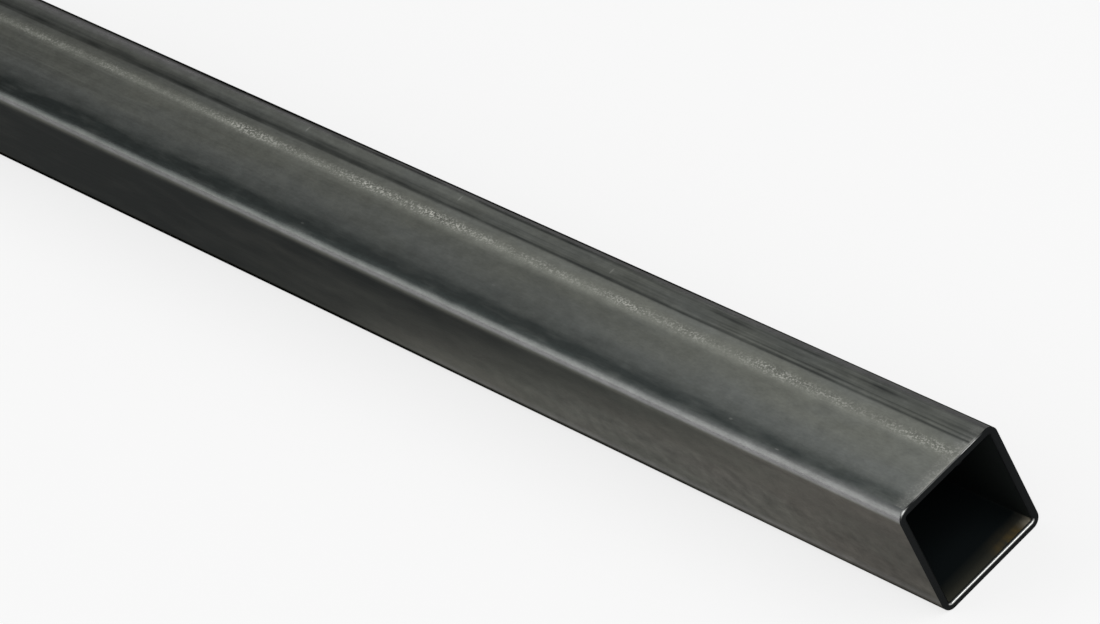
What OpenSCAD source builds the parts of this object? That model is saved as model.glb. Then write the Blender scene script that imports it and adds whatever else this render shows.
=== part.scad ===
// Cold-formed square steel tube with a weld seam along its top side, cut square to length.
// The tube lies along X on one of its flat sides. Its underside is on z = 0, and the
// middle of its length and width is above the origin.

/* [Tube] */
// Length of the cut piece
tube_length = 1000; // [100:50:3000]
// Outer width of each side
side = 25; // [20:1:50]
// Thickness of the strip that the tube is formed from
wall = 1.5; // [1:0.1:3]
// Inner radius of the four formed corners
inner_radius = 0.6; // [0.2:0.1:3]

/* [Weld seam] */
// Distance of the seam from the middle of the top side, towards +Y
seam_offset = 3.3; // [-5:0.1:5]
// Width of the bead that the weld leaves inside
bead_width = 1.8; // [1:0.1:3]
// Height of that bead, measured from the inner face
bead_height = 0.4; // [0.1:0.05:0.5]

/* [Cut ends] */
// Width of the broken edge round the outside of each cut end
outer_break = 0.12; // [0.05:0.01:0.3]
// Width of the deburred edge round the mouth of each cut end
inner_break = 0.3; // [0.05:0.05:0.5]

/* [Hidden] */
$fn = 96;

// The strip keeps its thickness round each bend, so both radii of a corner share one
// centre. The four centres stand in a square with sides of centre_distance.
outer_radius = inner_radius + wall;
centre_distance = side - 2 * outer_radius;

// The bead is what stands below the roof of the hollow of a round bar laid along it.
bead_radius = (pow(bead_width / 2, 2) + pow(bead_height, 2)) / (2 * bead_height);
bead_axis_z = side - wall + bead_radius - bead_height;

// Length by which a shape that cuts runs past the face that it cuts.
overrun = 1;

// A square block with rounded corners, standing on z = 0. Its corner radius goes from
// low_radius to high_radius over its height, and its four sides slope with it.
module rounded_block(low_radius, high_radius, height) {
    low = centre_distance / 2 + low_radius;
    high = centre_distance / 2 + high_radius;
    for (x = [-1, 1], y = [-1, 1])
        translate([x * centre_distance / 2, y * centre_distance / 2, 0])
            cylinder(h = height, r1 = low_radius, r2 = high_radius);
    for (turn = [0, 90])
        rotate([90, 0, turn])
            translate([0, 0, -centre_distance / 2])
                linear_extrude(height = centre_distance)
                    polygon([[-low, 0], [low, 0], [high, height], [-high, height]]);
}

// A rounded bar along the tube, straight over the given length. Past each end of that,
// its corner radius goes from radius to end_radius over end_length.
module rounded_bar(straight, radius, end_length, end_radius) {
    translate([0, 0, side / 2]) {
        rotate([0, 90, 0])
            translate([0, 0, -straight / 2])
                rounded_block(radius, radius, straight);
        for (turn = [-90, 90])
            rotate([0, turn, 0])
                translate([0, 0, straight / 2])
                    rounded_block(radius, end_radius, end_length);
    }
}

// The outer form, with the edge broken at 45 degrees round both cut ends.
module outer_form() {
    rounded_bar(tube_length - 2 * outer_break, outer_radius,
                outer_break, outer_radius - outer_break);
}

// The hollow, which opens at 45 degrees at both mouths and runs out past them.
module hollow_form() {
    flare = inner_break + overrun;
    rounded_bar(tube_length - 2 * inner_break, inner_radius, flare, inner_radius + flare);
}

// The weld bead, a low ridge along the inside of the top wall. Deburring the mouths
// takes it away there too.
module weld_bead() {
    bead_length = tube_length - 2 * inner_break;
    translate([-bead_length / 2, seam_offset, bead_axis_z])
        rotate([0, 90, 0])
            cylinder(h = bead_length, r = bead_radius);
}

// The tube is one piece: the outer form less the hollow, in which the bead is left.
module tube() {
    color([0.33, 0.34, 0.32])
        difference() {
            outer_form();
            difference() {
                hollow_form();
                weld_bead();
            }
        }
}

tube();
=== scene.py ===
import math

import bpy
import numpy as np
from mathutils import Matrix, Vector


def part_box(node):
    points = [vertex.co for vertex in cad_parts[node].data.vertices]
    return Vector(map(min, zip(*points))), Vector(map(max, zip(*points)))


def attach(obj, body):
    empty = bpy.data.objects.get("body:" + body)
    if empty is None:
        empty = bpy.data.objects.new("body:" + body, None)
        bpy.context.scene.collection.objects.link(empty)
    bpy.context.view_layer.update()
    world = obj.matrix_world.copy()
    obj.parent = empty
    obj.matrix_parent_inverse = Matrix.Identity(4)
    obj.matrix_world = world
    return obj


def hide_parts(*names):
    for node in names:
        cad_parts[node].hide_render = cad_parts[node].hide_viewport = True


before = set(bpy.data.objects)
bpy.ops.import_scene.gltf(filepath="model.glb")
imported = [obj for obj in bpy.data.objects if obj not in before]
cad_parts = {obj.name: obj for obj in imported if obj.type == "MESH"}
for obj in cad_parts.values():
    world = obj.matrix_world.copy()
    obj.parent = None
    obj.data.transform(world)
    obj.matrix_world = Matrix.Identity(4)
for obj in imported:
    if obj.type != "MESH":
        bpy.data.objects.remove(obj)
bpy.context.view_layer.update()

# The camera. It looks down on one cut end from the side, with a long lens, and is rolled
# so that the tube runs from the upper left to the lower right. Its distances are in metres.
azimuth = math.radians(65.86)
elevation = math.radians(37.13)
roll = math.radians(-28.55)
end_to_camera = 1.1771
end_right_of_middle = 0.07785
end_below_middle = 0.04475

low, high = (np.array(corner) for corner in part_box("tube"))
near_end_foot = Vector((high[0], 0, low[2]))

back = Vector((math.sin(azimuth) * math.cos(elevation),
               -math.cos(azimuth) * math.cos(elevation),
               math.sin(elevation)))
level_right = Vector((math.cos(azimuth), math.sin(azimuth), 0))
level_up = back.cross(level_right)
right = level_right * math.cos(roll) + level_up * math.sin(roll)
up = level_up * math.cos(roll) - level_right * math.sin(roll)

camera = bpy.data.objects.new("camera", bpy.data.cameras.new("camera"))
camera.data.lens = 220.1
camera.data.sensor_width = 36
camera.location = (near_end_foot + back * end_to_camera
                   - right * end_right_of_middle + up * end_below_middle)
camera.rotation_euler = Matrix((right, up, back)).transposed().to_euler()
bpy.context.scene.collection.objects.link(camera)
bpy.context.scene.camera = camera

# The tube. One strip of cold-rolled mild steel, which rollers bend to a square and a
# welder closes along its top side. It is sawn square to length and its mouths are
# deburred. Its surface is one closed ring-shaped grid, so it has no open edge.
MM = 0.001
tube_length = high[0] - low[0]
half_length = tube_length / 2
side = high[1] - low[1]
wall = 1.5 * MM
inner_radius = 0.6 * MM
outer_radius = inner_radius + wall
flat = side - 2 * outer_radius
half_flat = flat / 2
bend_length = math.pi / 2 * outer_radius
outer_break = 0.12 * MM
worn_break = 0.24 * MM
inner_break = 0.3 * MM
chance = np.random.default_rng(seed=25)


def strip_columns():
    """Columns of the grid, once round the section, from the top side's far edge over -Y.

    The outline of a square with round corners stands off a core square by the corner
    radius. So each column is a point of the core square and a normal: along a side the
    point moves and the normal stays, and in a bend the normal turns and the point stays.
    The top side has more columns where its smears, drawn lines and seam run. Returns the
    points and normals as (y, z) pairs, and how far round the outside each column is, in
    millimetres.
    """
    even_columns = 53
    plain_columns = 27
    bend_columns = 12
    edge = half_flat / MM
    even = np.linspace(-edge, edge, even_columns)
    by_smears = np.arange(-10.3, -9.1, 0.15)
    by_drawn_lines = np.arange(-8.2, -6.4, 0.1)
    by_seam = np.arange(-5.2, -1.6, 0.2)
    top = np.unique(np.round(np.r_[even, by_smears, by_drawn_lines, by_seam], 2)) * MM
    plain = np.linspace(-half_flat, half_flat, plain_columns)
    turns = np.radians(np.linspace(0, 90, bend_columns + 2))[1:-1]
    points, normals, around = [], [], []
    for quarter, along in enumerate((top, plain, plain, plain)):
        turned = quarter * math.pi / 2
        normal = np.array([-math.sin(turned), math.cos(turned)])
        travel = np.array([-math.cos(turned), -math.sin(turned)])
        points += [half_flat * normal + along[:, None] * travel,
                   np.tile(half_flat * (normal + travel), (len(turns), 1))]
        normals += [np.tile(normal, (len(along), 1)),
                    np.cos(turns)[:, None] * normal + np.sin(turns)[:, None] * travel]
        start = quarter * (flat + bend_length)
        around += [start + half_flat + along, start + flat + turns * outer_radius]
    return np.concatenate(points), np.concatenate(normals), np.concatenate(around) / MM


def lap_rows(outer, inner):
    """Rows of the grid, once lengthways: along the outside to +X, over the cut face, back
    through the hollow, and over the other cut face.

    outer and inner are the widths of the two broken edges at each column. The outer edge
    is a quarter of a circle and the inner one a slope with eased ends. On the long faces
    the rows stand closer together towards the cuts, by a power of the distance to them,
    and end a little short of the broken edges. Returns the place along the tube and the
    depth below the outside, as rows by columns, and the name of each row's zone.
    """
    none = np.zeros_like(outer)
    long_rows = {"outside": 201, "hollow": 81}
    edge_rows = 7
    cut_rows = 7
    crowding = 1.8
    spread = {}
    for name, count in long_rows.items():
        step = np.linspace(-1, 1, count)[:, None]
        spread[name] = np.sign(step) * (1 - (1 - np.abs(step)) ** crowding)
    turn = np.radians(np.linspace(0, 90, edge_rows))[:, None]
    ease = np.array([0, 0.08, 0.3, 0.7, 0.92, 1])[:, None]
    across = np.linspace(0, 1, cut_rows + 2)[1:-1, None]
    end_x = np.vstack([half_length - outer * (1 - np.sin(turn)), half_length + none * across,
                       half_length - inner * ease])
    end_depth = np.vstack([outer * (1 - np.cos(turn)),
                           outer + (wall - inner - outer) * across,
                           wall - inner * (1 - ease)])
    end_zones = ["edge"] * len(turn) + ["cut"] * len(across) + ["lip"] * len(ease)
    along = np.vstack([(half_length - 2 * outer) * spread["outside"], end_x,
                       (half_length - 1.5 * inner) * spread["hollow"][::-1], -end_x[::-1]])
    depth = np.vstack([none * spread["outside"], end_depth,
                       wall + none * spread["hollow"], end_depth[::-1]])
    zones = (["outside"] * long_rows["outside"] + end_zones
             + ["hollow"] * long_rows["hollow"] + end_zones[::-1])
    return along, depth, np.array(zones)


def smooth_step(start, end, value):
    """0 before the start, 1 past the end, and 3t2 - 2t3 in between, where t is the share
    of the way. Where the end is the lower of the two, it rises downwards."""
    share = np.clip((value - start) / (end - start), 0, 1)
    return share * share * (3 - 2 * share)


def ridge(middle, width, value):
    """1 at the middle, falling off to both sides as a bell curve of that width."""
    return np.exp(-((value - middle) / width) ** 2)


def between(low_edge, high_edge, soft, value):
    """1 between two edges and 0 outside them, with a smooth step of that width at each."""
    return (smooth_step(low_edge - soft / 2, low_edge + soft / 2, value)
            * (1 - smooth_step(high_edge - soft / 2, high_edge + soft / 2, value)))


def wave(start, length, value):
    """0 at the start, 1 half a length further on, 0 again after the whole: a cosine."""
    return 0.5 - 0.5 * np.cos(2 * math.pi * (value - start) / length)


core, normal, around = strip_columns()
core_y, core_z = core.T
normal_y, normal_z = normal.T

# Where each side and bend starts round the section, in millimetres of around. The far bend
# is counted back from the top side's far edge, so it is below 0. across_top is the place
# across the top side, from its middle towards the far bend.
flat_width = flat / MM
bend_width = bend_length / MM
near_bend = flat_width
front_side = near_bend + bend_width
low_bend = front_side + flat_width
underside = low_bend + bend_width
back_bend = underside + flat_width
perimeter = 4 * (flat_width + bend_width)
tolerance = 0.01
around = np.where(around > perimeter - bend_width - tolerance, around - perimeter, around)
across_top = flat_width / 2 - around
is_top = normal_z > 0.999

# The outer edge of each cut is hardly broken, but worn wider at the near bend. The inner
# edge is deburred to the same width all round.
corner_wear = ridge(near_bend + 0.7, 0.8, around)
x, depth, zone = lap_rows(outer_break + (worn_break - outer_break) * corner_wear,
                          np.full(len(core), inner_break))
is_outside = (zone == "outside")[:, None]
is_hollow = (zone == "hollow")[:, None]
from_cut = (half_length - x) / MM
from_end = np.minimum(from_cut, tube_length / MM - from_cut)

# The seam wanders a little across the top side, as a slow sine. Inside, the weld leaves a
# bead, half an ellipse in section, whose height changes along it. Outside, the bead is
# planed off, which leaves a shallow strip. Hard spots in the rollers draw two fine lines
# beside it: the first shifts and widens away from the cut, and the second fades out.
seam_middle = 3.45
seam_wander = 0.25
wander_start = 150
wander_length = 857
seam_place = seam_middle + seam_wander * np.sin(
    2 * math.pi * (from_cut - wander_start) / wander_length)
from_seam = across_top - seam_place
bead_half_width = 0.9
bead_height = 0.4 * MM
bead_unevenness = 0.1
ripple = np.convolve(chance.standard_normal(len(zone)), np.ones(3) / 3, "same")[:, None]
bead = bead_height * (1 - bead_unevenness * np.abs(ripple)) * np.sqrt(
    np.clip(1 - (from_seam / bead_half_width) ** 2, 0, 1))
depth += np.where(is_hollow, bead, 0)
planed_strip = ridge(0, 1, from_seam)
first_place = 6.84 + 0.42 * smooth_step(70, 190, from_cut)
first_width = 0.3 + 0.24 * smooth_step(120, 240, from_cut)
first_line = ridge(first_place, first_width, across_top)
second_line = ridge(7.8, 0.14, across_top) * (1 - smooth_step(40, 90, from_cut))
relief_depth = 0.02 * MM
depth += np.where(is_outside, relief_depth * (planed_strip + first_line + second_line), 0)

# Each point stands off the core square by the corner radius, less its depth. The faces
# join neighbouring rows and columns, and the last of each join the first.
stand_off = outer_radius - depth
points = np.stack([x, core_y + stand_off * normal_y,
                   low[2] + side / 2 + core_z + stand_off * normal_z], axis=-1)
rows, columns = x.shape
i, j = np.meshgrid(np.arange(rows), np.arange(columns), indexing="ij")
next_i, next_j = (i + 1) % rows, (j + 1) % columns
faces = np.stack([i * columns + j, i * columns + next_j,
                  next_i * columns + next_j, next_i * columns + j], axis=-1)

mesh = bpy.data.meshes.new("square_tube")
mesh.from_pydata(points.reshape(-1, 3).tolist(), [], faces.reshape(-1, 4).tolist())
mesh.polygons.foreach_set("use_smooth", np.ones(rows * columns, bool))
square_tube = bpy.data.objects.new("square_tube", mesh)
bpy.context.scene.collection.objects.link(square_tube)


def keep_on_mesh(name, values):
    """Keeps one number for each point of the grid, for a material to read."""
    attribute = mesh.attributes.new(name, "FLOAT", "POINT")
    spread = np.broadcast_to(values, (rows, columns)).astype(np.float32)
    attribute.data.foreach_set("value", np.ascontiguousarray(spread).ravel())


# A dark film, partly dried rolling oil and partly painted shade. On the top side it is thin,
# darkens away from the near cut as painted shade, and stops at the seam. On the others it
# thickens away from the cuts, later lower down, and changes slowly along the tube: painted
# shade on the front side, oil on the underside and back. Each finish from here on is a share,
# and its places are in millimetres. down is the place down the front side, from just below
# the near bend.
below_bend = front_side + 1.4
down = np.clip(around - below_bend, -2, 19)
top_film_and_shade = (0.02 + 0.34 * wave(-20, 280, from_cut)) * (1 - smooth_step(0.8, 2.4, across_top))
unshaded_up_to = np.minimum(4 + 3 * down + 0.35 * down ** 2, 135)
shaded_from = 150 + 2 * down
front_shade = smooth_step(unshaded_up_to, shaded_from, from_end)
front_shade *= 1 - 0.25 * smooth_step(0, 8, down) * (1 - smooth_step(140, 240, from_end))
front_shade *= 1 - 0.45 * wave(260, 480, np.maximum(from_end, 260))
front_shade += 0.2 * (1 - smooth_step(8, 36, from_end)) * smooth_step(0.2, 2.5, down)
front_shade += (0.03 + 0.17 * smooth_step(15, 40, from_end)) * ridge(-0.8, 0.6, down)
under_film = 0.2 + 0.25 * wave(60, 330, from_cut) * smooth_step(10, 110, from_end)
back_film = 0.1 + 0.35 * wave(0, 410, from_cut) * smooth_step(10, 110, from_end)
oil_film_and_shade = (between(0, near_bend, 0.6, around) * top_film_and_shade
        + between(front_side + 0.65, low_bend - 0.3, 1.3, around) * front_shade
        + between(underside, back_bend, 0.8, around) * under_film
        + smooth_step(back_bend, back_bend + 1.5, around) * back_film)
# Painted shade also dims the near bend's highlight far from the cuts.
oil_film_and_shade += 0.12 * smooth_step(150, 230, from_end) * between(near_bend, front_side, 0.8, around)

# Painted shade, matt and nearly black, sits in the film on the low bend, a little higher away
# from the cuts, and on the far bend below its top.
low_edge = low_bend - 0.3 * smooth_step(50, 90, from_end) - 0.2 * smooth_step(120, 200, from_end)
far_edge = (-1.4 + 0.3 * smooth_step(40, 100, from_cut) + 0.3 * smooth_step(165, 205, from_cut)
            - 0.15 * smooth_step(232, 250, from_cut))
bend_shade = ((0.6 + 0.38 * smooth_step(110, 190, from_end))
        * between(low_edge, underside, 0.7, around))
bend_shade += (0.95 - 0.3 * smooth_step(-1.5, -1.1, around)) * between(-4, far_edge, 0.5, around)

# The weld leaves flecks of scale on the planed strip, in clusters along it. Each cluster
# has its distance from the near cut and its reach along the tube, and its strength. The
# ones further along the tube are alike and stand about 27 mm apart. Just behind the cuts,
# there are flecks on the whole top side.
clusters = [(9, 7, 0.5), (35, 6, 0.35), (50, 7, 0.65), (74, 5, 0.35), (91, 8, 0.45),
            (116, 7, 0.25), (148, 12, 0.85), (171, 9, 0.5), (190, 12, 0.2), (209, 9, 0.5),
            (253, 5, 0.3)]
clusters += [(place + chance.uniform(-8, 8), 8, 0.4) for place in range(285, 990, 27)]
clustered = 0.2 + sum(share * ridge(place, reach, from_cut) for place, reach, share in clusters)

# Beside the near bend lies a dark band, partly burnished by the rollers and partly painted
# shade that shapes the bend's highlight. The bend itself carries a painted highlight on rubbed
# metal, with a duller line in it. So do a line above the low bend, the start of the far bend
# and, faintly, the lower front side. The cut edge of the top side is worn bright.
burnish_and_shade = ((0.12 + 0.28 * smooth_step(0, 90, from_cut)) * smooth_step(13.5, 17.5, around)
             + 0.62 * smooth_step(16.7, 19.8, around))
burnish_and_shade *= 1 - smooth_step(21.15, 22.9, around - 0.2 * smooth_step(120, 220, from_cut))
# Where the painted highlight on the near bend starts and where it is full.
highlight_start = near_bend - 0.5 + 0.9 * smooth_step(0, 110, from_cut)
highlight_full = near_bend + 2.3 + 0.3 * smooth_step(0, 220, from_cut)
rub_and_painted_highlight = (np.clip((around - highlight_start) / (highlight_full - highlight_start), 0, 1) ** 1.4
          * (1 - smooth_step(front_side - 1.1, front_side - 0.1, around)))
rub_and_painted_highlight -= (0.3 + 0.14 * smooth_step(60, 200, from_cut)) * ridge(near_bend + 1.6, 0.5, around)
rub_and_painted_highlight += 0.05 * between(40, 110, 25, from_end) * smooth_step(5, 11, down) * (around < low_bend)
rub_and_painted_highlight += 0.4 * ridge(low_bend - 1.1, 0.5, around) * (1 - smooth_step(130, 170, from_end))
rub_and_painted_highlight += 0.9 * ridge(-0.7 + 0.25 * smooth_step(145, 210, from_cut), 0.4, around)
rub_and_painted_highlight += 0.4 * between(232, 300, 25, from_cut) * between(-0.6, 0.9, 0.9, around)
worn_edge = (1 - smooth_step(0.35, 0.8, from_end)) * between(-7.5, 8.3, 1.5, across_top)

# Towards the far bend, rollers have drawn dark streaks along the tube, between the first
# line and the bend. Two smears lie among them, and a painted shade line follows the bend's
# start. Near the cut, a lighter line lies between the two drawn ones.
fading = smooth_step(80, 170, from_cut) * smooth_step(8.1, 9.3, across_top)
streaked = 0.44 * between(6.55, 10.7, 0.5, across_top) * (1 - fading)
smear = (0.4 * ridge(9.5, 0.3, across_top) * ridge(28, 11, from_cut)
         + 0.55 * ridge(9.7, 0.3, across_top) * ridge(69, 9, from_cut))
far_bend_shade_place = (0.2 - 0.3 * smooth_step(70, 100, from_cut)
                   - 0.35 * smooth_step(135, 160, from_cut))
far_bend_shade_line = ridge(far_bend_shade_place, 0.28, around) * (1 - smooth_step(180, 196, from_cut))
far_bend_shade_line *= (0.15 * smooth_step(25, 40, from_cut) + 0.25 * ridge(44, 8, from_cut)
              + 0.5 * smooth_step(80, 112, from_cut))
lighter_line = ridge(7.3, 0.16, across_top) * (1 - smooth_step(40, 110, from_cut))
dark_lines = (first_line * (0.3 + 0.07 * smooth_step(40, 120, from_cut)
                            - 0.12 * ridge(238, 11, from_cut))
              + 0.22 * second_line + smear + far_bend_shade_line - 0.18 * lighter_line)

# The film is oil and painted shade, the burnish partly painted shade, the dirt painted shade,
# and the rubbing a painted highlight.
keep_on_mesh("oil_film_and_shade", oil_film_and_shade * (1 - worn_edge))
keep_on_mesh("bend_shade", bend_shade)
keep_on_mesh("burnish_and_shade", burnish_and_shade)
keep_on_mesh("rub_and_painted_highlight", rub_and_painted_highlight)
keep_on_mesh("streaked", streaked * (1 - worn_edge))
keep_on_mesh("dark_lines", dark_lines * (1 - worn_edge))
keep_on_mesh("bare", 0.3 * worn_edge + 0.16 * is_top * (1 - smooth_step(1, 4, from_end)))
keep_on_mesh("planed_strip", planed_strip)
keep_on_mesh("flecked", (ridge(0.35, 0.85, from_seam)
                         + 0.45 * (1 - smooth_step(0.5, 4, from_end))) * is_top)
keep_on_mesh("clustered", clustered)

# Near the cuts, the lower front side is smudged more unevenly than the rest. The tint is
# grey on the top side, cooler along both its edges, and browner on the other sides, most
# of all at the cuts. Those other sides are also darker than the top: painted shade.
keep_on_mesh("smudgy", 1 + 1.3 * between(front_side + 9, low_bend - 0.5, 4, around)
             * (1 - smooth_step(80, 130, from_end)))
keep_on_mesh("brown_and_shaded_sides", smooth_step(front_side - 0.8, front_side + 0.1, around))
keep_on_mesh("cool", np.where(
    around < front_side - 0.8,
    smooth_step(8, 17, around) + 0.5 * (1 - smooth_step(4, 6, around)),
    0.85 * smooth_step(0, 100, from_end)))

# Bare metal shows along the outer edge, at the near bend and the top side. Of the inner
# edge, only the underside's lip shows bright, and the start of the bends beside it: its
# outer half and the last of the cut face before it. The other cut's face is a little lighter,
# with less of the painted shade on the cut faces.
top_wear = is_top * (0.18 * between(-8, 9, 2, across_top) + 0.4 * between(4, 8, 1, across_top))
bright_edge = (0.6 * corner_wear
               + 0.85 * top_wear * (1 - smooth_step(0.3, 0.8, depth / outer_break)))
bright_lip = smooth_step(-0.35, -0.75, normal_z)
lip_share = (depth - (wall - inner_break)) / inner_break
keep_on_mesh("bright", np.select(
    [(zone == "edge")[:, None], (zone == "lip")[:, None], (zone == "cut")[:, None]],
    [bright_edge, bright_lip * (1 - smooth_step(0, 0.42, lip_share)),
     np.where(x < 0, 0.15, 0.35 * bright_lip * (lip_share > -0.5))], 0))

# In the hollow, the floor is painted paler at the mouths, as light falling in, and palest, as a
# painted highlight, in the corner below the back wall, with rust beside that. The back wall is
# painted a little paler too, for 60 mm, as light reaching in.
is_floor = smooth_step(-0.3, -0.8, normal_z)
is_back_wall = smooth_step(0.3, 0.8, normal_y)
in_mouth = (1 - smooth_step(0.2, 3.3, from_end)) * is_floor
keep_on_mesh("mouth", (1 - smooth_step(0.2, 4.5, from_end)) * is_floor
             + 0.12 * (1 - smooth_step(2, 60, from_end)) * is_back_wall)
keep_on_mesh("mouth_rust", in_mouth * between(2.5, 8.5, 4, core_y / MM))
keep_on_mesh("mouth_corner", in_mouth * smooth_step(8, 10, core_y / MM))
keep_on_mesh("bead", np.where(is_hollow, bead / bead_height, 0))


def linear(code):
    """A colour written as sRGB hex, turned to linear by the sRGB curve."""
    srgb = [int(code[k:k + 2], 16) / 255 for k in (1, 3, 5)]
    return [c / 12.92 if c <= 0.04045 else ((c + 0.055) / 1.055) ** 2.4 for c in srgb] + [1]


def add(tree, kind, inputs=None, **settings):
    """Adds a node with its settings. inputs gives each socket a value or what feeds it."""
    made = tree.nodes.new(kind)
    for name, value in settings.items():
        setattr(made, name, value)
    for name, value in (inputs or {}).items():
        if isinstance(value, bpy.types.NodeSocket):
            tree.links.new(value, made.inputs[name])
        else:
            made.inputs[name].default_value = value
    return made


def start_material(owner, name, patterns, kept):
    """An empty material with noise patterns and the numbers kept on the mesh.

    Each pattern has its size along the tube and across it, in millimetres, to which the
    noise is stretched, and its detail.
    """
    material = bpy.data.materials.new(name)
    material.use_nodes = True
    tree = material.node_tree
    tree.nodes.clear()
    owner.materials.append(material)
    place = add(tree, "ShaderNodeTexCoord").outputs["Object"]
    found = {}
    for pattern, (along, across, detail) in patterns.items():
        stretched = add(tree, "ShaderNodeMapping", {
            "Vector": place, "Scale": [1 / (size * MM) for size in (along, across, across)]})
        found[pattern] = add(tree, "ShaderNodeTexNoise", {
            "Vector": stretched.outputs[0], "Scale": 1.0, "Detail": detail}).outputs[0]
    for number in kept:
        found[number] = add(tree, "ShaderNodeAttribute", attribute_name=number).outputs["Fac"]
    return tree, found


# Cold-rolled steel under a film of rolling oil and painted shade: a dark grey metal with a
# satin sheen, drawn out lengthways. The mill's grain is about 0.05 mm, here coarsened to show.
tree, of = start_material(mesh, "cold_rolled_mild_steel", {
    "grain": (30, 0.4, 3), "streaks": (40, 0.5, 3), "clouds": (22, 5, 2),
    "smears": (14, 3, 3), "blotches": (9, 1.5, 2), "smudges": (4, 2.5, 3),
    "flecks": (0.42, 0.34, 2), "clusters": (9, 3, 2), "speckle": (0.9, 0.4, 2),
}, ["oil_film_and_shade", "bend_shade", "burnish_and_shade", "rub_and_painted_highlight", "streaked", "dark_lines", "planed_strip", "flecked",
    "clustered", "smudgy", "bare", "brown_and_shaded_sides", "cool"])

# The tint drifts in soft clouds.
cool = add(tree, "ShaderNodeMapRange", {
    "Value": of["clouds"], "From Min": 0.35, "From Max": 0.65, "To Min": -0.25, "To Max": 0.25})
cool = add(tree, "ShaderNodeMath", {
    0: cool.outputs[0], 1: of["cool"]}, operation="ADD", use_clamp=True)

# Along the seam, the same fine noise gives bright flecks where it is high and dark pits
# where it is low.
bright_spots = add(tree, "ShaderNodeMapRange", {
    "Value": of["flecks"], "From Min": 0.52, "From Max": 0.61})
clustered = add(tree, "ShaderNodeMapRange", {
    "Value": of["clusters"], "From Min": 0.35, "From Max": 0.65, "To Min": 0.7, "To Max": 1.3})
clustered = add(tree, "ShaderNodeMath", {
    0: clustered.outputs[0], 1: of["clustered"]}, operation="MULTIPLY")
seam_flecks = add(tree, "ShaderNodeMath", {
    0: bright_spots.outputs[0], 1: clustered.outputs[0]}, operation="MULTIPLY")
flecks = add(tree, "ShaderNodeMath", {
    0: seam_flecks.outputs[0], 1: of["flecked"]}, operation="MULTIPLY")
pits = add(tree, "ShaderNodeMapRange", {
    "Value": of["flecks"], "From Min": 0.44, "From Max": 0.36, "To Max": 0.5})
seam_pits = add(tree, "ShaderNodeMath", {
    0: pits.outputs[0], 1: clustered.outputs[0]}, operation="MULTIPLY")
seam_pits = add(tree, "ShaderNodeMath", {
    0: seam_pits.outputs[0], 1: of["flecked"]}, operation="MULTIPLY")

# The film is uneven where the rollers streaked it, the dark lines are broken, and faint
# smears run over all of it.
blotched = add(tree, "ShaderNodeMapRange", {
    "Value": of["blotches"], "From Min": 0.3, "From Max": 0.68, "To Min": 0.75, "To Max": 1.2})
uneven = add(tree, "ShaderNodeMapRange", {
    "Value": of["streaks"], "From Min": 0.38, "From Max": 0.62, "To Min": 0.8, "To Max": 1.25})
uneven = add(tree, "ShaderNodeMath", {
    0: uneven.outputs[0], 1: blotched.outputs[0]}, operation="MULTIPLY")
# The film's share paints shade as well as oil.
film_and_shade_share = add(tree, "ShaderNodeMath", {
    0: uneven.outputs[0], 1: of["streaked"], 2: of["oil_film_and_shade"]}, operation="MULTIPLY_ADD")
broken = add(tree, "ShaderNodeMapRange", {
    "Value": of["smears"], "From Min": 0.35, "From Max": 0.6, "To Min": 0.7, "To Max": 1.2})
film_and_shade_share = add(tree, "ShaderNodeMath", {
    0: broken.outputs[0], 1: of["dark_lines"], 2: film_and_shade_share.outputs[0]},
    operation="MULTIPLY_ADD")
smeared = add(tree, "ShaderNodeMapRange", {
    "Value": of["smears"], "From Min": 0.3, "From Max": 0.7, "To Min": -0.07, "To Max": 0.07})
film_and_shade_share = add(tree, "ShaderNodeMath", {
    0: film_and_shade_share.outputs[0], 1: smeared.outputs[0]}, operation="ADD", use_clamp=True)
# The dark band beside the near bend, partly burnish and partly painted shade, made blotchy.
burnish_shade_share = add(tree, "ShaderNodeMath", {
    0: blotched.outputs[0], 1: of["burnish_and_shade"]}, operation="MULTIPLY", use_clamp=True)

# Small scuffs on the top side, each as its distance from the near cut, its place across,
# half its width along and across, in millimetres, and its strength.
marks = [(101, 8.6, 0.25, 0.8, 0.3), (147.5, 9.5, 0.25, 0.8, 0.25), (196, 9.6, 0.25, 0.7, 0.3),
         (48.6, -8.75, 0.5, 0.25, 0.14), (34.2, -10.4, 0.6, 0.15, 0.16),
         (175.3, -9.6, 0.5, 0.25, 0.12), (121.8, -4.4, 0.6, 0.2, 0.1)]
place = add(tree, "ShaderNodeTexCoord").outputs["Object"]
bare = of["bare"]
for from_near_cut, to_the_side, half_along, half_across, strength in marks:
    centre = (half_length - from_near_cut * MM, to_the_side * MM, side)
    inside = add(tree, "ShaderNodeMapping", {
        "Vector": place, "Location": centre,
        "Scale": (half_along * MM, half_across * MM, wall)}, vector_type="TEXTURE")
    reach = add(tree, "ShaderNodeVectorMath", {0: inside.outputs[0]}, operation="LENGTH")
    mark = add(tree, "ShaderNodeMapRange", {
        "Value": reach.outputs["Value"], "From Min": 1.2, "From Max": 0.4, "To Max": strength})
    bare = add(tree, "ShaderNodeMath", {0: bare, 1: mark.outputs[0]},
               operation="MAXIMUM").outputs[0]

# The steel's own colour, then what lies on it in turn. The film with its painted shade and the
# painted shade on the bends come last.
top_tone = add(tree, "ShaderNodeMix", {
    "Factor": cool.outputs[0], 6: linear("#767871"), 7: linear("#737673")},
    data_type="RGBA").outputs[2]
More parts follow.
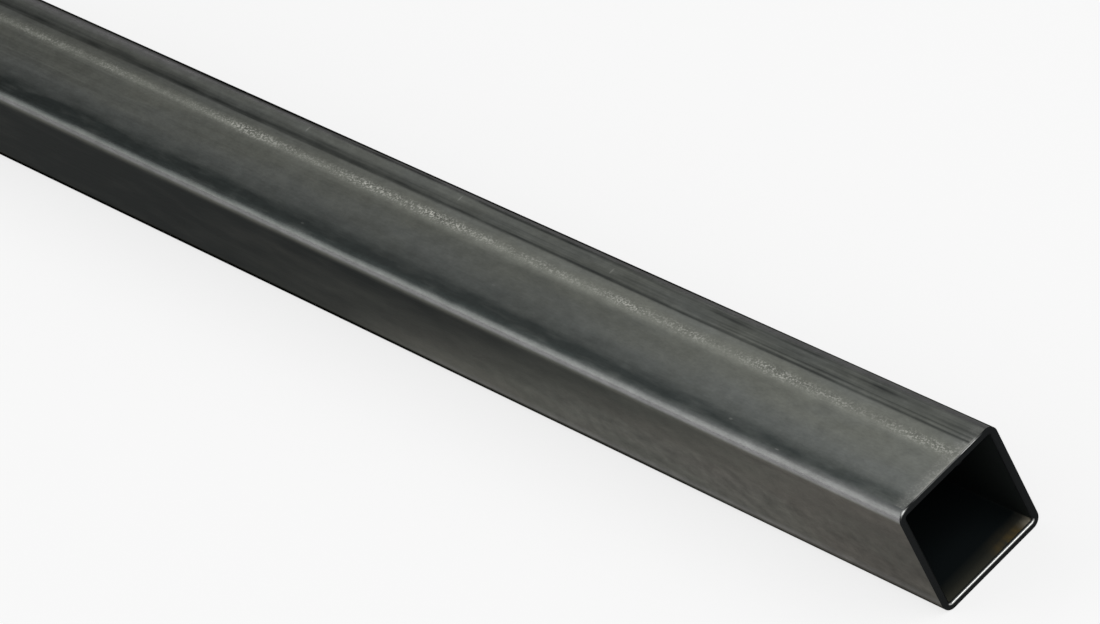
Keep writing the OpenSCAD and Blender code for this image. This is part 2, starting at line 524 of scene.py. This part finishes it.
# The other sides' tone is darker than the top's: painted shade.
shaded_side_tone = add(tree, "ShaderNodeMix", {
    "Factor": cool.outputs[0], 6: linear("#605d57"), 7: linear("#5c5d56")},
    data_type="RGBA").outputs[2]
tone = add(tree, "ShaderNodeMix", {
    "Factor": of["brown_and_shaded_sides"], 6: top_tone, 7: shaded_side_tone}, data_type="RGBA").outputs[2]
# The dark band is partly painted shade, and the rubbed bend's light colour a painted highlight.
for share, colour in ((burnish_shade_share.outputs[0], "#3f4443"), (of["rub_and_painted_highlight"], "#8f8e8f"),
                      (of["planed_strip"], "#92948c"), (flecks.outputs[0], "#dadad2"),
                      (seam_pits.outputs[0], "#4a4b46"), (bare, "#cfcfca")):
    tone = add(tree, "ShaderNodeMix", {
        "Factor": share, 6: tone, 7: linear(colour)}, data_type="RGBA").outputs[2]
lightness = add(tree, "ShaderNodeMapRange", {
    "Value": of["grain"], "From Min": 0.3, "From Max": 0.7, "To Min": 0.95, "To Max": 1.05})
speckled = add(tree, "ShaderNodeMapRange", {
    "Value": of["speckle"], "From Min": 0.3, "From Max": 0.7, "To Min": 0.93, "To Max": 1.07})
smudged = add(tree, "ShaderNodeMapRange", {
    "Value": of["smudges"], "From Min": 0.3, "From Max": 0.7, "To Min": -0.1, "To Max": 0.1})
smudged = add(tree, "ShaderNodeMath", {
    0: smudged.outputs[0], 1: of["smudgy"], 2: 1.0}, operation="MULTIPLY_ADD")
for value in (lightness.outputs[0], speckled.outputs[0], smudged.outputs[0]):
    tone = add(tree, "ShaderNodeHueSaturation", {"Color": tone, "Value": value}).outputs[0]
# The film and its painted shade, then the painted shade on the bends.
for share, colour in ((film_and_shade_share.outputs[0], "#363837"), (of["bend_shade"], "#1b1b1a")):
    tone = add(tree, "ShaderNodeMix", {
        "Factor": share, 6: tone, 7: linear(colour)}, data_type="RGBA").outputs[2]

# At a grazing angle the clean steel reflects most, the film with its painted shade less, and
# the painted shade on the bends least.
edge_tint = linear("#bcbcbc")
for share, colour in ((film_and_shade_share.outputs[0], "#aaaaaa"), (of["bend_shade"], "#606060")):
    edge_tint = add(tree, "ShaderNodeMix", {
        "Factor": share, 6: edge_tint, 7: linear(colour)}, data_type="RGBA").outputs[2]

# The flecks are rougher than the strip, and stand up from it.
rough = add(tree, "ShaderNodeMapRange", {
    "Value": of["grain"], "From Min": 0.3, "From Max": 0.7, "To Min": 0.31, "To Max": 0.37})
rough = add(tree, "ShaderNodeMath", {
    0: of["flecked"], 1: 0.12, 2: rough.outputs[0]}, operation="MULTIPLY_ADD")
relief = add(tree, "ShaderNodeMath", {
    0: flecks.outputs[0], 1: 2.0, 2: of["grain"]}, operation="MULTIPLY_ADD")
bump = add(tree, "ShaderNodeBump", {
    "Height": relief.outputs[0], "Distance": 0.01 * MM, "Strength": 0.6})
surface = add(tree, "ShaderNodeBsdfPrincipled", {
    "Base Color": tone, "Metallic": 1.0, "Roughness": rough.outputs[0],
    "Specular Tint": edge_tint, "Normal": bump.outputs[0]})
add(tree, "ShaderNodeOutputMaterial", {"Surface": surface.outputs[0]})

# Sawn steel, dull, and painted nearly black as painted shade of the cut face, with the saw's
# fine marks on it. Where the edge is deburred or worn, the bare metal shows bright.
tree, of = start_material(mesh, "sawn_steel", {"saw_marks": (5, 0.25, 3)}, ["bright"])
# The near-black tones of the saw marks are painted shade of the cut face.
tone = add(tree, "ShaderNodeMix", {
    "Factor": of["saw_marks"], 6: linear("#151717"), 7: linear("#28292a")},
    data_type="RGBA").outputs[2]
tone = add(tree, "ShaderNodeMix", {
    "Factor": of["bright"], 6: tone, 7: linear("#e6e7e4")}, data_type="RGBA").outputs[2]
rough = add(tree, "ShaderNodeMapRange", {
    "Value": of["bright"], "To Min": 0.5, "To Max": 0.28})
surface = add(tree, "ShaderNodeBsdfPrincipled", {
    "Base Color": tone, "Metallic": 1.0, "Roughness": rough.outputs[0],
    "Specular Tint": linear("#bcbcbc")})
add(tree, "ShaderNodeOutputMaterial", {"Surface": surface.outputs[0]})

# Steel in the hollow, which no roller rubs: dark and matt, and darker still as painted shade
# of the hollow, browned by a little rust on the floor of the mouths. The weld's heat has left
# the bead grey.
tree, of = start_material(mesh, "steel_inside_the_hollow", {"rust": (4, 2.5, 4)},
                          ["mouth", "mouth_rust", "mouth_corner", "bead"])
rusty = add(tree, "ShaderNodeMapRange", {
    "Value": of["rust"], "From Min": 0.35, "From Max": 0.62})
rusty = add(tree, "ShaderNodeMath", {
    0: rusty.outputs[0], 1: of["mouth_rust"]}, operation="MULTIPLY")
# The dark base is partly painted shade of the hollow.
tone = linear("#2e3537")
# The paler mouths and their corner are painted light; the rust and the bead are their own
# colours.
for share, colour in ((of["mouth"], "#706f62"), (rusty.outputs[0], "#b39759"),
                      (of["mouth_corner"], "#dcd4c0"), (of["bead"], "#5a5c5d")):
    tone = add(tree, "ShaderNodeMix", {
        "Factor": share, 6: tone, 7: linear(colour)}, data_type="RGBA").outputs[2]
surface = add(tree, "ShaderNodeBsdfPrincipled", {
    "Base Color": tone, "Metallic": 1.0, "Roughness": 0.6,
    "Specular Tint": linear("#bcbcbc")})
add(tree, "ShaderNodeOutputMaterial", {"Surface": surface.outputs[0]})

# A row of faces lies between two rows of points. Where either of them is in a zone of
# sawn steel, the faces are sawn steel too.
sawn = 1
slot_of_zone = {"outside": 0, "edge": sawn, "cut": sawn, "lip": sawn, "hollow": 2}
row_slots = np.array([slot_of_zone[name] for name in zone])
row_slots = np.where(np.roll(row_slots, -1) == sawn, sawn, row_slots)
mesh.polygons.foreach_set("material_index", np.repeat(row_slots, columns))
mesh.update()

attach(square_tube, "root")
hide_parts("tube")

# The floor and the light. A wide floor of white paper, matt and nearly white, under an
# even studio sky, with soft boxes that stand off the tube: one over the camera, one close
# behind and one to the side. The paper keeps part of its own shading, and so the shadow.
floor_reach = 60
paper = bpy.data.meshes.new("floor")
corners = [(-1, -1), (1, -1), (1, 1), (-1, 1)]
paper.from_pydata([(floor_reach * a, floor_reach * b, low[2]) for a, b in corners], [],
                  [(0, 1, 2, 3)])
floor = bpy.data.objects.new("floor", paper)
bpy.context.scene.collection.objects.link(floor)
tree = start_material(paper, "white_paper", {}, [])[0]
surface = add(tree, "ShaderNodeBsdfDiffuse", {"Color": linear("#f2f2f2")})
white = add(tree, "ShaderNodeEmission", {"Color": linear("#ffffff"), "Strength": 1.0})
ray = add(tree, "ShaderNodeLightPath").outputs
seen = add(tree, "ShaderNodeMath", {0: ray["Is Camera Ray"], 1: ray["Is Glossy Ray"]},
           operation="MAXIMUM")
seen = add(tree, "ShaderNodeMath", {0: seen.outputs[0], 1: ray["Is Transmission Ray"]},
           operation="MAXIMUM")
white_share = 0.75
bleached = add(tree, "ShaderNodeMath", {0: seen.outputs[0], 1: white_share},
               operation="MULTIPLY")
surface = add(tree, "ShaderNodeMixShader", {
    0: bleached.outputs[0], 1: surface.outputs[0], 2: white.outputs[0]})
add(tree, "ShaderNodeOutputMaterial", {"Surface": surface.outputs[0]})

sky_strength = 0.28
world = bpy.data.worlds.new("studio")
bpy.context.scene.world = world
world.use_nodes = True
world.node_tree.nodes["Background"].inputs["Color"].default_value = (1, 1, 1, 1)
world.node_tree.nodes["Background"].inputs["Strength"].default_value = sky_strength


def soft_box(name, direction, distance, width, height, radiance):
    """A rectangular lamp that faces the near end. Its power is its area, times pi, times
    the radiance that a mirror would show of it."""
    lamp = bpy.data.lights.new(name, "AREA")
    lamp.shape = "RECTANGLE"
    lamp.size, lamp.size_y = width, height
    lamp.energy = radiance * math.pi * width * height
    lit = bpy.data.objects.new(name, lamp)
    towards = Vector(direction).normalized()
    lit.location = near_end_foot + towards * distance
    lit.rotation_euler = towards.to_track_quat("Z", "Y").to_euler()
    lit.visible_camera = False
    bpy.context.scene.collection.objects.link(lit)


soft_box("over_the_camera", direction=(0.69, 0.10, 0.70), distance=2.0,
         width=2.4, height=1.6, radiance=2.93)
soft_box("close_behind", direction=(-0.68, -0.05, 0.73), distance=0.8,
         width=0.9, height=0.32, radiance=0.9)
soft_box("to_the_side", direction=(-0.69, -0.58, 0.38), distance=2.0,
         width=1.4, height=1.1, radiance=1.5)

bpy.context.scene.view_settings.view_transform = "Standard"
